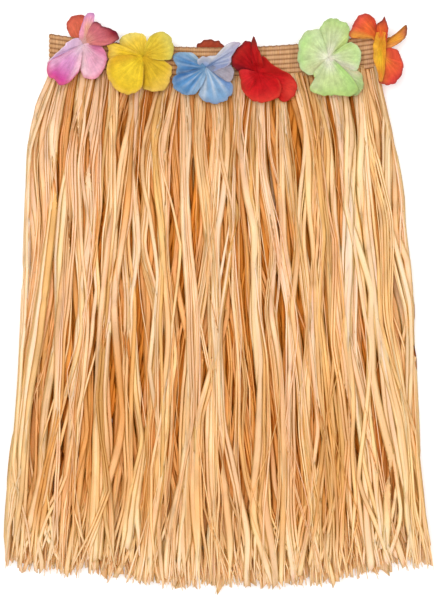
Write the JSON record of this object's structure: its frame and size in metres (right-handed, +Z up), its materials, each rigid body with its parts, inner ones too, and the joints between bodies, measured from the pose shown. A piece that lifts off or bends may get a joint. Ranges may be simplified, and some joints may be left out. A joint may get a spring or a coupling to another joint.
{
  "type": "grass skirt",
  "caption": "Raffia grass skirt laid flat: a shirred elastic waistband with long loose strands hanging from it and silk hibiscus flowers sewn along the waist.",
  "frame": {"origin": "on the surface that the skirt lies on, under the middle of its outline's box", "axes": "+Y from the hem to the waist, +X to the right seen from above, +Z up off the surface"},
  "size_m": [0.4661, 0.6296, 0.0195],
  "materials": {
    "raffia": "dry split raffia strips, tan to cream, with a faint satin sheen",
    "raffia_band": "raffia gathered by rows of elastic thread",
    "silk_lilac": "thin stiffened polyester silk, lilac to magenta",
    "silk_yellow": "thin stiffened polyester silk, golden yellow",
    "silk_blue": "thin stiffened polyester silk, sky blue to white",
    "silk_red": "thin stiffened polyester silk, scarlet",
    "silk_green": "thin stiffened polyester silk, pale green to cream",
    "silk_orange": "thin stiffened polyester silk, orange to coral red"
  },
  "bodies": {
    "root": {"waistband": "raffia_band", "grass_back_lower": "raffia", "grass_back_upper": "raffia", "grass_front_under": "raffia", "grass_front_middle": "raffia", "grass_front_top": "raffia", "flower_lilac": "silk_lilac", "flower_yellow": "silk_yellow", "flower_blue": "silk_blue", "flower_red": "silk_red", "flower_green": "silk_green", "flower_orange": "silk_orange", "flower_back_orange": "silk_orange", "flower_back_crimson": "silk_red"}
  },
  "joints": []
}
